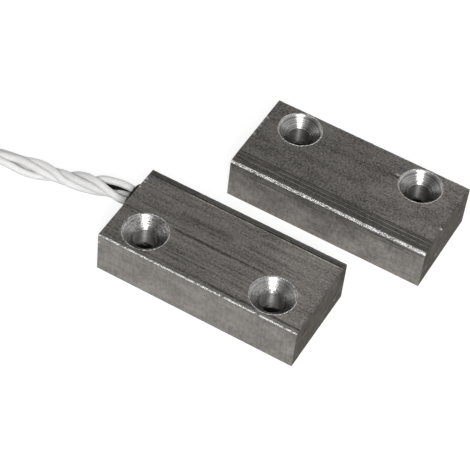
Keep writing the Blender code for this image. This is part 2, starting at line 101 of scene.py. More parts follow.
# %% [markdown]
# ## Camera, floor and light
#
# The camera was placed by fitting the corners of both blocks. It looks down from the front right
# through a long lens, and leans a little. The key light is a soft box near the camera, as the
# bright band on the far wall of each countersink shows. Bare metal shows what it faces, so the
# surroundings are pale near the horizon, grey overhead and lighter to the right. The lamp gives
# the light and the shadows, and metal mirrors a soft bright patch of the surroundings in its
# place, because the lamp itself would burn out there.

# %% Camera
CAMERA_PLACE = (95.182, -228.438, 292.919)
CAMERA_TURN = (40.0277, -4.451, 29.9665)  # degrees
SENSOR_WIDTH = 36.0
FOCAL_LENGTH = 149.356
NEAREST_SEEN = 10.0


def in_scene(name, data):
    """A new object that shows this data."""
    made = bpy.data.objects.new(name, data)
    bpy.context.scene.collection.objects.link(made)
    return made


camera = in_scene("camera", bpy.data.cameras.new("camera"))
camera.location = np.array(CAMERA_PLACE) * MM
camera.rotation_euler = np.radians(CAMERA_TURN)
camera.data.sensor_width = SENSOR_WIDTH
camera.data.lens = FOCAL_LENGTH
camera.data.clip_start = NEAREST_SEEN * MM
bpy.context.scene.camera = camera
bpy.context.scene.view_settings.view_transform = "Standard"
print("camera at", tuple(camera.location))

# %% [markdown]
# Materials and surroundings are both trees of nodes. Small helpers keep the rest short: one
# fills a node's inputs, one makes a node, one moves a value from one range to another, and the
# others reckon.


# %% Small helpers for node trees
def fill(node, inputs):
    """Fills a node's inputs: a socket is linked, anything else is set."""
    for key, value in inputs.items():
        if isinstance(value, bpy.types.NodeSocket):
            node.id_data.links.new(value, node.inputs[key])
        else:
            node.inputs[key].default_value = value


def add(tree, kind, inputs=None, **settings):
    """A new shader node with its settings and inputs."""
    made = tree.nodes.new("ShaderNode" + kind)
    for name, value in settings.items():
        setattr(made, name, value)
    fill(made, inputs or {})
    return made


def ranged(value, low, high, out_low, out_high, kind="LINEAR"):
    """The socket's stretch from low to high, as a stretch from out_low to out_high, clamped."""
    limits = {"Value": value, "From Min": low, "From Max": high, "To Min": out_low, "To Max": out_high}
    return add(value.id_data, "MapRange", limits, interpolation_type=kind).outputs["Result"]


def sums(operation, first, second=0.0):
    """One step of arithmetic on two sockets, or on a socket and a number."""
    tree = (first if isinstance(first, bpy.types.NodeSocket) else second).id_data
    return add(tree, "Math", {0: first, 1: second}, operation=operation).outputs["Value"]


def plus(first, second):
    """The sum of the two."""
    return sums("ADD", first, second)


def minus(first, second):
    """The first less the second."""
    return sums("SUBTRACT", first, second)


def times(first, second):
    """The product of the two."""
    return sums("MULTIPLY", first, second)


# %% Surroundings
world = bpy.data.worlds.new("studio")
bpy.context.scene.world = world
world.use_nodes = True
sky = world.node_tree
HORIZON_LEVEL = 0.85
CEILING_LEVEL = 0.27
HORIZON_UP, CEILING_UP = 0.12, 0.5  # how far up a direction of length 1 points
LEFT_SHARE, RIGHT_SHARE = 0.5, 2.0  # of the ceiling's level
LEFT_X, RIGHT_X = -0.45, -0.02  # the direction's X where the ceiling has those shares
KEY_TOWARDS = Vector((0.406, -0.635, 0.643)).normalized()
GLINT_LEVEL = 6.0
GLINT_INNER, GLINT_OUTER = np.cos(np.radians((5, 16)))
looking = add(sky, "TexCoord").outputs["Generated"]
direction = add(sky, "SeparateXYZ", {"Vector": looking}).outputs
shares = (CEILING_LEVEL * LEFT_SHARE, CEILING_LEVEL * RIGHT_SHARE)
ceiling = ranged(direction["X"], LEFT_X, RIGHT_X, *shares)
surroundings = ranged(direction["Z"], HORIZON_UP, CEILING_UP, HORIZON_LEVEL, ceiling)
nearness = add(sky, "VectorMath", {0: looking, 1: KEY_TOWARDS}, operation="DOT_PRODUCT").outputs["Value"]
glint = ranged(nearness, GLINT_OUTER, GLINT_INNER, 0, GLINT_LEVEL, "SMOOTHSTEP")
lit = plus(surroundings, glint)
backdrop = ranged(add(sky, "LightPath").outputs["Is Camera Ray"], 0, 1, lit, 1)
fill(sky.nodes["Background"], {"Strength": backdrop, "Color": (1, 1, 1, 1)})
print("surroundings:", len(sky.nodes), "nodes, ceiling from", shares[0], "to", shares[1])


# %% Key light
def soft_box(name, towards, distance, size, irradiance):
    """A square lamp that faces the origin.

    Its power is pi squared times the irradiance at the origin times the distance squared.
    """
    lamp = in_scene(name, bpy.data.lights.new(name, "AREA"))
    lamp.data.size = size
    lamp.data.energy = np.pi**2 * irradiance * distance**2
    lamp.location = Vector(towards).normalized() * distance
    lamp.rotation_euler = Vector(towards).to_track_quat("Z", "Y").to_euler()
    return lamp


key = soft_box("key", KEY_TOWARDS, distance=0.9, size=0.3, irradiance=0.78)
key.visible_glossy = False
print("key light:", round(key.data.energy, 2), "W")

# %% Floor
FLOOR_SIZE = 4.0  # metres
FLOOR_DROP = 0.01
PAPER_GREY = 0.23
PAPER_GLOW = 0.85  # what the camera and mirrors see of it
floor_mesh = bpy.data.meshes.new("floor")
corners = np.array([(-1, -1), (1, -1), (1, 1), (-1, 1)]) * FLOOR_SIZE / 2
floor_mesh.from_pydata([(x, y, -FLOOR_DROP * MM) for x, y in corners], [], [(0, 1, 2, 3)])
floor = in_scene("floor", floor_mesh)
paper = bpy.data.materials.new("paper")
paper.use_nodes = True
tree = paper.node_tree
rays = add(tree, "LightPath")
seen = sums("MAXIMUM", rays.outputs["Is Camera Ray"], rays.outputs["Is Glossy Ray"])
seen = sums("MAXIMUM", seen, rays.outputs["Is Transmission Ray"])
glow = {"Emission Color": (1, 1, 1, 1), "Emission Strength": ranged(seen, 0, 1, 0, PAPER_GLOW)}
matt = {"Base Color": (*[PAPER_GREY] * 3, 1), "Roughness": 1.0, "Specular IOR Level": 0.0}
fill(tree.nodes["Principled BSDF"], glow | matt)
floor_mesh.materials.append(paper)
print("floor:", FLOOR_SIZE, "m square")


# %% [markdown]
# ## Surfaces from grids
#
# Pieces cut out of boxes and cylinders would have long thin faces that shade badly, and edges
# that can't be worn. So every new piece is a set of sheets: grids of points, each worked out as
# one array from two parameters. Sheets that share a border have the same points there, so
# joining the points that coincide closes the shell.

# %% Profiles
def on_circle(angle):
    """The cosine and the sine of each angle: points on a circle of radius 1."""
    return np.stack([np.cos(angle), np.sin(angle)], axis=-1)


def arc(centre, radius, start, end, steps):
    """Points of an arc: the centre plus the radius times points on a circle."""
    return centre + radius * on_circle(np.radians(np.linspace(start, end, steps + 1)))


def line(start, end, steps):
    """Even steps from start to end. They are two points, or two rows of points or numbers."""
    share = np.linspace(0, 1, steps + 1).reshape(-1, *[1] * np.ndim(end))
    return np.array(start) * (1 - share) + np.array(end) * share


def joined(*runs):
    """Runs of points end to end, without the points that repeat the one before them."""
    points = np.concatenate(runs)
    moved = np.linalg.norm(np.diff(points, axis=0), axis=1) > 1e-9
    return points[np.concatenate([[True], moved])]


print("a quarter of a circle:", arc((0, 0), 1, 0, 90, 2).round(3).tolist())

# %% From sheets to a mesh
WELD_DISTANCE = 2e-4
SMOOTH_BELOW = 35  # degrees between faces, past which an edge stays sharp


def grid_faces(rows, columns, first):
    """Corner numbers of a grid's faces: each point with its neighbours right, across and below."""
    corner = (np.arange(rows - 1)[:, None] * columns + np.arange(columns - 1)).ravel() + first
    return np.stack([corner, corner + 1, corner + columns + 1, corner + columns], axis=1)


def piece(name, sheets, looks):
    """One closed mesh from (grid, material number) sheets in millimetres, riding on the only body."""
    points = np.concatenate([grid.reshape(-1, 3) for grid, kind in sheets])
    firsts = np.cumsum([0] + [grid.shape[0] * grid.shape[1] for grid, kind in sheets])
    faces = [grid_faces(*grid.shape[:2], first) for (grid, kind), first in zip(sheets, firsts)]
    kinds = np.concatenate([np.full(len(f), kind) for f, (grid, kind) in zip(faces, sheets)])
    mesh = bpy.data.meshes.new(name)
    mesh.from_pydata(points * MM, [], np.concatenate(faces))
    for look in looks:
        mesh.materials.append(look)
    mesh.polygons.foreach_set("material_index", kinds.astype(np.int32))
    work = bmesh.new()
    work.from_mesh(mesh)
    bmesh.ops.remove_doubles(work, verts=work.verts, dist=WELD_DISTANCE * MM)
    bmesh.ops.recalc_face_normals(work, faces=work.faces)
    open_edges = sum(edge.is_boundary for edge in work.edges)
    volume = work.calc_volume(signed=True)
    work.to_mesh(mesh)
    work.free()
    mesh.shade_smooth()
    mesh.set_sharp_from_angle(angle=np.radians(SMOOTH_BELOW))
    made = in_scene(name, mesh)
    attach(made, "root")
    print(f"{name}: {len(mesh.polygons)} faces, {open_edges} open edges, {volume * 1e9:.1f} mm3")
    return made


# %% [markdown]
# ## The leads
#
# Four white wires are twisted into one bundle, each a tube of its own. The bundle's centreline
# comes first: out of the resin, down to the surface, along it, and into a flat coil of nearly two
# turns that lies just outside the picture. Each wire then gets a place beside that line at every
# 2.5 mm. Where the picture shows the wires, their places were fitted to it, because a twist made
# by hand is uneven. Further on they settle into an even twist, and at the end they fan out.

# %% The bundle's centreline
BUNDLE_DIAMETER = 3.6
WIRE_RADIUS = 0.75
REST_HEIGHT = BUNDLE_DIAMETER / 2 + 0.05
COIL_RADIUS = 20.0
COIL_PITCH = 3.7
COIL_TURNS = 1.875
ROUTE_STEPS, COIL_STEPS, TAIL_STEPS = 8, 240, 30
STEP_IN_FROM, STEP_IN_TURNS = 0.85, 0.15  # in turns: where the coil's radius steps in
TAIL_RADIUS = 9.0
TAIL_ANGLE = 135
LEAD_START = 0.7  # from the end face, inside the resin
PATH_STEP = 0.5
# Distance from the end face, sideways from the bore's axis, and the share of the drop.
LEAD_ROUTE = [
    (1.7, 0.00, 0.00), (5.2, -0.05, 0.03), (9.1, -0.50, 0.16), (13.1, -0.80, 0.45),
    (17.1, -1.10, 0.74), (20.8, -1.55, 0.93), (24.7, -2.20, 1.00), (28.0, -2.65, 1.00),
    (30.6, -3.00, 1.00), (38.0, -3.45, 1.00), (48.0, -3.60, 1.00), (58.0, -3.60, 1.00),
    (70.8, -3.60, 1.00),
]
MOUTH = SWITCH["corner"] + np.array([0, *BORE_AT])


def through(points, steps):
    """A smooth curve through the points: on each stretch a cubic, with slopes from its neighbours."""
    ends = np.concatenate([[2 * points[0] - points[1]], points, [2 * points[-1] - points[-2]]])
    before, start, end, after = (ends[i : len(ends) - 3 + i, None] for i in range(4))
    t = np.linspace(0, 1, steps, endpoint=False)[None, :, None]
    cubic = 2 * start + (end - before) * t
    cubic = cubic + (2 * before - 5 * start + 4 * end - after) * t**2
    cubic = cubic + (3 * start - before - 3 * end + after) * t**3
    return np.concatenate([cubic.reshape(-1, points.shape[1]) / 2, points[-1:]])


def evenly(points, step):
    """The same line with its points a step apart."""
    run = np.concatenate([[0], np.cumsum(np.linalg.norm(np.diff(points, axis=0), axis=1))])
    marks = np.linspace(0, run[-1], int(round(run[-1] / step)) + 1)
    return np.stack([np.interp(marks, run, points[:, axis]) for axis in range(3)], axis=1), marks


def eased(share):
    """A smooth step from 0 to 1: three times the share squared, less twice its cube."""
    share = np.clip(share, 0, 1)
    return share * share * (3 - 2 * share)


def lead_line():
    """Route, coil and tail as one line: the coil is a circle whose radius steps in by one pitch."""
    away, aside, drop = np.array([(LEAD_START, 0.0, 0.0), *LEAD_ROUTE]).T
    height = MOUTH[2] + (REST_HEIGHT - MOUTH[2]) * drop
    run = through(np.stack([MOUTH[0] - away, MOUTH[1] + aside, height], axis=1), ROUTE_STEPS)
    centre = run[-1, :2] + (0, COIL_RADIUS)
    turn = np.linspace(0, COIL_TURNS, COIL_STEPS)[1:]
    angle = np.radians(-90 - 360 * turn)
    radius = COIL_RADIUS - COIL_PITCH * eased((turn - STEP_IN_FROM) / STEP_IN_TURNS)
    coil = centre + radius[:, None] * on_circle(angle)
    last = np.degrees(angle[-1])
    hub = centre + (COIL_RADIUS - COIL_PITCH - TAIL_RADIUS) * on_circle(angle[-1])
    tail = arc(hub, TAIL_RADIUS, last, last - TAIL_ANGLE, TAIL_STEPS)[1:]
    flat = np.concatenate([coil, tail])
    return np.concatenate([run, np.column_stack([flat, np.full(len(flat), REST_HEIGHT)])])


LEAD_PATH, LEAD_MARKS = evenly(lead_line(), PATH_STEP)
print("leads:", round(LEAD_MARKS[-1], 1), "mm long,", len(LEAD_PATH), "rings")

# %% Where each wire lies
# Sideways and up from the centreline, at the marks KNOTS_FROM, KNOTS_FROM + 2.5 mm and so on.
KNOT_STEP = 2.5
KNOTS_FROM = 0.6
WIRES = {
    "front": [
        (-1.44, 0.23), (-1.5, 0.1), (-1.23, 0.84), (-0.41, 1.4), (0.44, 1.2),
        (1.03, 0.52), (1.11, -0.48), (0.67, -1.24), (-0.06, -1.29), (-0.79, -0.95),
        (-1.14, -0.33), (-1.27, 0.32), (-1.25, 0.77), (-0.92, 1.14),
    ],
    "under": [
        (-0.34, -1.28), (-0.49, -1.0), (-0.65, -0.5), (-0.98, -0.07), (-0.98, 0.63),
        (-0.66, 0.98), (0.19, 0.73), (0.69, 0.23), (0.84, -0.12), (0.68, -0.58),
        (0.4, -0.96), (0.19, -1.07), (0.15, -0.95), (-0.39, -1.01),
    ],
    "back": [
        (0.95, -0.56), (1.07, -0.98), (0.49, -1.42), (-0.31, -1.42), (-0.81, -1.0),
        (-1.24, -0.39), (-1.3, 0.49), (-0.36, 1.36), (0.51, 1.36), (1.01, 0.94),
        (1.09, 0.35), (1.32, 0.01), (1.45, -0.29), (1.2, -0.84),
    ],
    "upper": [
        (1.35, 0.86), (1.43, 1.09), (1.26, 1.08), (1.26, 0.71), (0.73, -0.26),
        (0.16, -0.83), (-0.41, -0.75), (-0.79, -0.11), (-0.8, 0.72), (-0.46, 1.28),
        (-0.03, 1.31), (0.13, 0.89), (0.21, 0.55), (0.37, 0.4),
    ],
}
FIRST_TURN = 142.5  # degrees, the mean turn of the four at their last fitted knot
LAST_TURN = 135 - 3600
SETTLE_LENGTH = 8.0
SQUARE_REACH = WIRE_RADIUS * np.sqrt(2)
FAN_LENGTH = 9.0
FAN_SPACING = 1.6
FAN_PACE = 1.8  # each of the fan's two moves takes the fan's length over this
FAN_LIFT = 0.05  # how far the fan's wires stay off the surface
LIFT = 0.01  # how far every wire stays off it
KNOT_STEPS = 5
print("fitted places of each wire:", {name: len(places) for name, places in WIRES.items()})


# %% From places to lines
def frame_along(points):
    """Tangent, sideways and upwards directions along a line that never runs straight up."""
    tangent = np.gradient(points, axis=0)
    tangent /= np.linalg.norm(tangent, axis=1)[:, None]
    aside = np.cross(tangent, (0, 0, 1.0))
    aside /= np.linalg.norm(aside, axis=1)[:, None]
    return tangent, aside, np.cross(aside, tangent)


def wire_line(number, fitted):
    """One wire's centreline beside the bundle's.

    After the fitted knots its angle falls evenly, a quarter turn behind the wire before it, and
    its reach settles to a square's. In the fan, it first moves sideways and then down.
    """
    fitted = np.array(fitted)
    last = KNOTS_FROM + KNOT_STEP * (len(fitted) - 1)
    end = LEAD_MARKS[-1]
    marks = np.append(np.arange(last + KNOT_STEP, end, KNOT_STEP), end)
    turned = np.clip((marks - last) / (end - FAN_LENGTH - last), 0, 1)
    settled = eased((marks - last) / SETTLE_LENGTH)
    first_turn = np.degrees(np.arctan2(fitted[-1, 1], fitted[-1, 0]))
    even_turn = FIRST_TURN + 90 * number
    early = (first_turn - even_turn + 180) % 360 - 180
    angle = np.radians(even_turn + early * (1 - settled) + (LAST_TURN - FIRST_TURN) * turned)
    reach = np.linalg.norm(fitted[-1]) * (1 - settled) + SQUARE_REACH * settled
    fan = (marks - (end - FAN_LENGTH)) / FAN_LENGTH
    row = FAN_SPACING * (-1.5, -0.5, 0.5, 1.5)[number]
    x = reach * np.cos(angle)
    y = reach * np.sin(angle)
    x += (row - x) * eased(FAN_PACE * fan)
    y += (WIRE_RADIUS + FAN_LIFT - REST_HEIGHT - y) * eased(FAN_PACE * fan - (FAN_PACE - 1))
    knots = np.concatenate([[2 * fitted[0] - fitted[1]], fitted, np.column_stack([x, y])])
    knot_marks = np.concatenate([KNOTS_FROM + KNOT_STEP * np.arange(-1, len(fitted)), marks])
    place = through(knots, KNOT_STEPS)
    place_marks = through(knot_marks[:, None], KNOT_STEPS)[:, 0]
    tangent, aside, up = frame_along(LEAD_PATH)
    right, over = (np.interp(LEAD_MARKS, place_marks, place[:, axis])[:, None] for axis in (0, 1))
    course = LEAD_PATH + right * aside + over * up
    course[:, 2] = np.maximum(course[:, 2], WIRE_RADIUS + LIFT)
    return course


WIRE_LINES = {name: wire_line(number, WIRES[name]) for number, name in enumerate(WIRES)}
lowest = min(points[:, 2].min() for points in WIRE_LINES.values()) - WIRE_RADIUS
print("lowest point of the insulation:", round(lowest, 3), "mm")

# %% Tubes
TUBE_SIDES = 18


def tube(points, wide, high, sides):
    """A tube's skin and its two caps. Each ring is an ellipse with the two half axes given there."""
    turn = np.linspace(0, 2 * np.pi, sides + 1)[None, :, None]
    skin = points[:, None] + np.cos(turn) * wide[:, None] + np.sin(turn) * high[:, None]
    caps = [np.stack([skin[i], np.broadcast_to(points[i], skin[i].shape)]) for i in (0, -1)]
    return [skin, *caps]


def round_tube(points, radius, sides):
    """A tube whose rings are circles, square to the line."""
    tangent, aside, up = frame_along(points)
    return tube(points, radius * aside, radius * up, sides)


print("rings of a wire:", round_tube(WIRE_LINES["front"], WIRE_RADIUS, TUBE_SIDES)[0].shape)


# %% [markdown]
# ## Finishes of the leads
#
# The insulation is smooth plastic, a light grey white with a soft gloss. A little light passes
# under its skin, which softens the creases between the wires. One noise is enough for such plain
# finishes: it moves the shade, the gloss and the height together.

# %% Building a plain finish
NOISE_RANGE = (0.36, 0.64)  # where nearly all of a noise lies


def finish(name, colour, roughness, metallic=0.0):
    """A Principled material. Values that stay the same all over are set on the shader itself."""
    made = bpy.data.materials.new(name)
    made.use_nodes = True
    shader = made.node_tree.nodes["Principled BSDF"]
    fill(shader, {"Base Color": (*colour, 1), "Roughness": roughness, "Metallic": metallic})
    return made, made.node_tree, shader


def in_millimetres(tree):
    """Object coordinates in millimetres."""
    where = add(tree, "TexCoord").outputs["Object"]
    return add(tree, "Mapping", {"Vector": where, "Scale": (1 / MM,) * 3}).outputs["Vector"]


def grain(where, scale, detail=3.0, rough=0.68):
    """Noise around 0.5. The scale is in cycles per millimetre on each axis."""
    scaled = add(where.id_data, "Mapping", {"Vector": where, "Scale": scale}).outputs["Vector"]
    values = {"Vector": scaled, "Scale": 1.0, "Detail": detail, "Roughness": rough}
    return add(where.id_data, "TexNoise", values).outputs["Fac"]


def varied(shader, colour, tone, gloss, height, distance):
    """Links what varies: the colour times a tone, the roughness, and the height times a distance."""
    tree = shader.id_data
    scaled = add(tree, "VectorMath", {0: colour, "Scale": tone}, operation="SCALE")
    bump = add(tree, "Bump", {"Height": height, "Distance": distance * MM, "Strength": 1.0})
    fill(shader, {"Base Color": scaled.outputs[0], "Roughness": gloss, "Normal": bump.outputs[0]})


def plain(name, colour, roughness, metallic, scale, depth, swing=0.18):
    """A finish whose shade and gloss vary by a share, the swing, with one noise."""
    made, tree, shader = finish(name, colour, roughness, metallic)
    noise = grain(in_millimetres(tree), scale, detail=4)
    tone = ranged(noise, *NOISE_RANGE, 1 - swing, 1 + swing)
    gloss = ranged(noise, *NOISE_RANGE, roughness * (1 + swing), roughness * (1 - swing))
    varied(shader, colour, tone, gloss, noise, depth)
    return made


# %% Insulation, resin and tin
RESIN_SHINE = 0.25
SKIN_LIGHT = 0.2
SKIN_DEPTH = 0.3
WHITE = (0.64, 0.635, 0.632)
INSULATION = plain("white_insulation", WHITE, 0.36, 0.0, (0.35, 0.35, 0.35), 0.06, swing=0.05)
skin = {"Weight": SKIN_LIGHT, "Radius": (1, 1, 1), "Scale": SKIN_DEPTH * MM}
skin = {f"Subsurface {name}": value for name, value in skin.items()}
fill(INSULATION.node_tree.nodes["Principled BSDF"], skin)
TINNED = plain("tinned_strands", (0.72, 0.7, 0.67), 0.3, 1.0, (3, 3, 3), 0.02)
RESIN = plain("black_resin", (0.007, 0.0068, 0.0065), 0.42, 0.0, (1.6, 1.6, 1.6), 0.05)
fill(RESIN.node_tree.nodes["Principled BSDF"], {"Specular IOR Level": RESIN_SHINE})
print("finishes:", INSULATION.name, TINNED.name, RESIN.name)

# %% The wires
wires = [round_tube(points, WIRE_RADIUS, TUBE_SIDES) for points in WIRE_LINES.values()]
sheets = [(sheet, 0) for wire in wires for sheet in wire]
leads = piece("twisted_leads", sheets, [INSULATION])
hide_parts("lead_bundle", "lead_coil", "lead_tail")

# %% [markdown]
# The wires end stripped: each shows a core of seven tinned strands, six of them wound about the
# middle one. They are thin tubes with few sides, because they are hardly seen.

# %% The stripped ends
STRIPPED_LENGTH = 6.0
STRAND_START = -0.3  # inside the insulation
STRAND_RADIUS = 0.13
STRAND_PITCH = 7.0
STRAND_RINGS = 22
STRAND_SIDES = 8


def strand_lines(points):
    """Seven level lines ahead of a wire's end: one straight, six turning about it, 60 degrees apart."""
    ahead = (points[-1] - points[-2]) * (1, 1, 0)
    ahead /= np.linalg.norm(ahead)
    marks = np.linspace(STRAND_START, STRIPPED_LENGTH, STRAND_RINGS)
    middle = points[-1] + marks[:, None] * ahead
    tangent, aside, up = frame_along(middle)
    lines = [middle]
    for start in range(0, 360, 60):
        angle = np.radians(start + 360 * marks / STRAND_PITCH)[:, None]
        lines.append(middle + 2 * STRAND_RADIUS * (np.cos(angle) * aside + np.sin(angle) * up))
    return lines


strands = [strand for points in WIRE_LINES.values() for strand in strand_lines(points)]
cores = [round_tube(strand, STRAND_RADIUS, STRAND_SIDES) for strand in strands]
sheets = [(sheet, 0) for core in cores for sheet in core]
tips = piece("stranded_tips", sheets, [TINNED])
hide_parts(*(f"stripped_end_{number}" for number in range(1, 5)))

# %% [markdown]
# ## The resin at the mouth
#
# The casting stands proud of the bore. Before it set, it ran a little over the bore's rim and
# climbed the wires, so a thin bead covers the casting's nose. A thin black web between two of the
# wires where they leave it is painted shade: it darkens the gap between them. The bead is a height
# over a round grid.

# %% Bead and web
BEAD_OUT = NOSE_LENGTH + 0.06
BEAD_BACK = 0.03
BEAD_EDGE = 0.45
BEAD_REACH = 3.02
BEAD_LEVEL = 0.85  # the share of the reach that is level
BEAD_RINGS, BEAD_EDGE_RINGS = 24, 8
BEAD_SIDES = 96
BEAD_POWER = 2.7  # 2 is a circle, more is squarer
CLIMB_HEIGHT = 0.6
CLIMB_FALL = 0.5
CLIMB_POWER = 6  # how suddenly the climb ends at the bead's edge
WEB_HALF = 0.12
WEB_RINGS = slice(1, 18)
WEB_SIDES = 16


def bead_grid():
    """The bead by share of reach and by angle.

    The outline is a circle swollen towards a square: one over the root of the powered cosine and
    sine. The skin is level, then rounds off, then falls to the end face. Round each wire it rises
    by a height that falls off as a power of e with the distance from the insulation.
    """
    turn = np.linspace(0, np.pi / 2, BEAD_EDGE_RINGS + 1)
    level = np.linspace(0, BEAD_LEVEL, BEAD_RINGS)
    shares = np.concatenate([level, BEAD_LEVEL + (1 - BEAD_LEVEL) * np.sin(turn[1:]), [1.0]])
    edge = BEAD_OUT - BEAD_EDGE * (1 - np.cos(turn[1:]))
    out = np.concatenate([np.full(BEAD_RINGS, BEAD_OUT), edge, [BEAD_BACK]])
    angle = np.linspace(0, 2 * np.pi, BEAD_SIDES + 1)
    power = np.abs(np.cos(angle)) ** BEAD_POWER + np.abs(np.sin(angle)) ** BEAD_POWER
    reach = shares[:, None] * BEAD_REACH / power ** (1 / BEAD_POWER)
    right = reach * np.cos(angle)
    over = reach * np.sin(angle)
    rise = np.zeros_like(right)
    for fitted in WIRES.values():
        apart = np.hypot(right - fitted[0][0], over - fitted[0][1]) - WIRE_RADIUS
        rise = np.maximum(rise, np.exp(-np.clip(apart, 0, None) / CLIMB_FALL))
    x = -out[:, None] - CLIMB_HEIGHT * rise * (1 - shares[:, None] ** CLIMB_POWER)
    return np.dstack([x, right, over]) + MOUTH


def painted_shade_sheets():
    """A flat tube between two wires: half of their distance one way, WEB_HALF the other."""
    upper, back = WIRE_LINES["upper"][WEB_RINGS], WIRE_LINES["back"][WEB_RINGS]
    half = (upper - back) / 2
    thin = np.cross(frame_along(LEAD_PATH)[0][WEB_RINGS], half)
    thin *= WEB_HALF / np.linalg.norm(thin, axis=1)[:, None]
    return tube((upper + back) / 2, half, thin, WEB_SIDES)


front = bead_grid()
behind = np.stack([front[-1], np.broadcast_to(MOUTH - (BEAD_BACK, 0, 0), front[-1].shape)])
bead = piece("resin_bead", [(front, 0), (behind, 0)], [RESIN])
# A black sheet with the resin's finish: painted shade for the gap between the upper and back wires.
web = piece("painted_shade_web", [(sheet, 0) for sheet in painted_shade_sheets()], [RESIN])


# %% [markdown]
# ## The blocks
#
# Each block is sawn off a drawn bar, so its long faces are one profile carried along a line. The
# top and underside need round holes: a square of grid round each hole runs from the circle out to
# the square's sides, and plain grids fill what is left. Countersinks and bores are turned
# profiles, whose rings meet the circles. Every run of a profile names its finish.

# %% The bar's section
TOP, SIDE, RAIL, EDGE, SAWN, CONE, BORE = range(7)  # material numbers
RIDGE = [(18.0, 10.0), (18.12, 10.02), (18.22, 10.05), (18.32, 10.03), (18.38, 10.0)]
SLOPE_START = 16.45
GROOVES = (16.6, 17.05, 17.5, 17.95, 18.4, 18.85)
GROOVE_HALF = 0.08
GROOVE_DEPTH = 0.06


def plain_side():
    """Runs of (across, up) points with their finish: from the underside, up the plain side, to the top."""
    corner = (PLAIN_RADIUS, HEIGHT - PLAIN_RADIUS)
    return [
        (arc((FOOT_RADIUS, FOOT_RADIUS), FOOT_RADIUS, 270, 180, 4), SIDE),
        (line((0, FOOT_RADIUS), (0, HEIGHT - PLAIN_RADIUS), 24), SIDE),
        (arc(corner, PLAIN_RADIUS, 180, 156, 2), SIDE),
        (arc(corner, PLAIN_RADIUS, 156, 114, 6), EDGE),
        (arc(corner, PLAIN_RADIUS, 114, 90, 2), TOP),
    ]


def stepped_side():
    """The switch block's active side: a ridge, the rail below it, the round edge and the set-back strip."""
    rail_edge = WIDTH - SIDE_RAIL_DEPTH
    rail_top = HEIGHT - RAIL_DEPTH
    rail_foot = HEIGHT - SIDE_RAIL_HEIGHT
    corner = (rail_edge - RAIL_RADIUS, rail_top - RAIL_RADIUS)
    return [
        (np.array(RIDGE), TOP),
        (line(RIDGE[-1], (WIDTH - RAIL_WIDTH, rail_top), 3), RAIL),
        (line((WIDTH - RAIL_WIDTH, rail_top), (corner[0], rail_top), 10), RAIL),
        (arc(corner, RAIL_RADIUS, 90, 0, 9), RAIL),
        (line((rail_edge, corner[1]), (rail_edge, rail_foot), 6), SIDE),
        (line((rail_edge, rail_foot), (WIDTH, rail_foot - SIDE_RAIL_DEPTH), 2), SIDE),
        (line((WIDTH, rail_foot - SIDE_RAIL_DEPTH), (WIDTH, FOOT_RADIUS), 18), SIDE),
        (arc((WIDTH - FOOT_RADIUS, FOOT_RADIUS), FOOT_RADIUS, 0, -90, 4), SIDE),
    ]


def grooved_side():
    """The magnet block's active side: a gentle slope with fine grooves, and a worn round edge."""
    corner = (WIDTH - ACTIVE_RADIUS, HEIGHT - SLOPE_DEPTH - ACTIVE_RADIUS)
    grooves = [middle + GROOVE_HALF * np.array([-1, 0, 1]) for middle in GROOVES]
    across = np.concatenate([[SLOPE_START], *grooves, [corner[0]]])
    up = HEIGHT - SLOPE_DEPTH * (across - SLOPE_START) / (corner[0] - SLOPE_START)
    up[2:-1:3] -= GROOVE_DEPTH
    return [
        (np.column_stack([across, up]), RAIL),
        (arc(corner, ACTIVE_RADIUS, 90, 72, 2), RAIL),
        (arc(corner, ACTIVE_RADIUS, 72, 18, 6), EDGE),
        (arc(corner, ACTIVE_RADIUS, 18, 0, 2), SIDE),
        (line((WIDTH, corner[1]), (WIDTH, FOOT_RADIUS), 24), SIDE),
        (arc((WIDTH - FOOT_RADIUS, FOOT_RADIUS), FOOT_RADIUS, 0, -90, 4), SIDE),
    ]


SWITCH["active"] = stepped_side()
MAGNET["active"] = grooved_side()
print("profile points:", sum(len(run) for run, kind in SWITCH["active"]))

# %% Grid lines and flat sheets with holes
CELL = 5.1  # half a hole's square
CELL_STEPS = 40
CELL_RINGS = 8
GRID_STEP = 0.26
END_EDGE = 0.06
RIM_OUT = 0.05


def even(start, end, step=GRID_STEP):
    """Numbers from start to end, about a step apart."""
    return np.linspace(start, end, max(1, int(np.ceil((end - start) / step))) + 1)


def along_lines(screws):
    """Grid lines along the bar: fine at the rounded ends, and a fixed count over each hole."""
    first, second = (along for along, across in screws)
    near_end = END_EDGE * (1 - np.cos(np.linspace(0, np.pi / 2, 6)))
    return [
        np.unique(np.concatenate([near_end, even(END_EDGE, first - CELL)])),
        np.linspace(first - CELL, first + CELL, CELL_STEPS + 1),
        even(first + CELL, second - CELL),
        np.linspace(second - CELL, second + CELL, CELL_STEPS + 1),
        np.unique(np.concatenate([even(second + CELL, LENGTH - END_EDGE), LENGTH - near_end])),
    ]


def raised(rows, up):
    """Rows of (along, across) points at their heights."""
    return np.dstack([rows, np.broadcast_to(up, rows.shape[:2])])


def flat(along, across, up):
    """A level grid."""
    return raised(np.dstack(np.meshgrid(along, across, indexing="ij")), up)


def square_loop(along, across):
    """The points on a square's sides, once round, with the first repeated at the end."""
    low = np.column_stack([along, np.full(len(along), across[0])])
    right = np.column_stack([np.full(len(across), along[-1]), across])
    high = np.column_stack([along[::-1], np.full(len(along), across[-1])])
    left = np.column_stack([np.full(len(across), along[0]), across[::-1]])
    return joined(low, right, high, left)


def around(loop, centre, radius, steps):
    """From a circle out to a loop: each point moves straight from the circle to its own loop point."""
    angle = np.arctan2(loop[:, 1] - centre[1], loop[:, 0] - centre[0])
    return line(centre + radius * on_circle(angle), loop, steps), angle


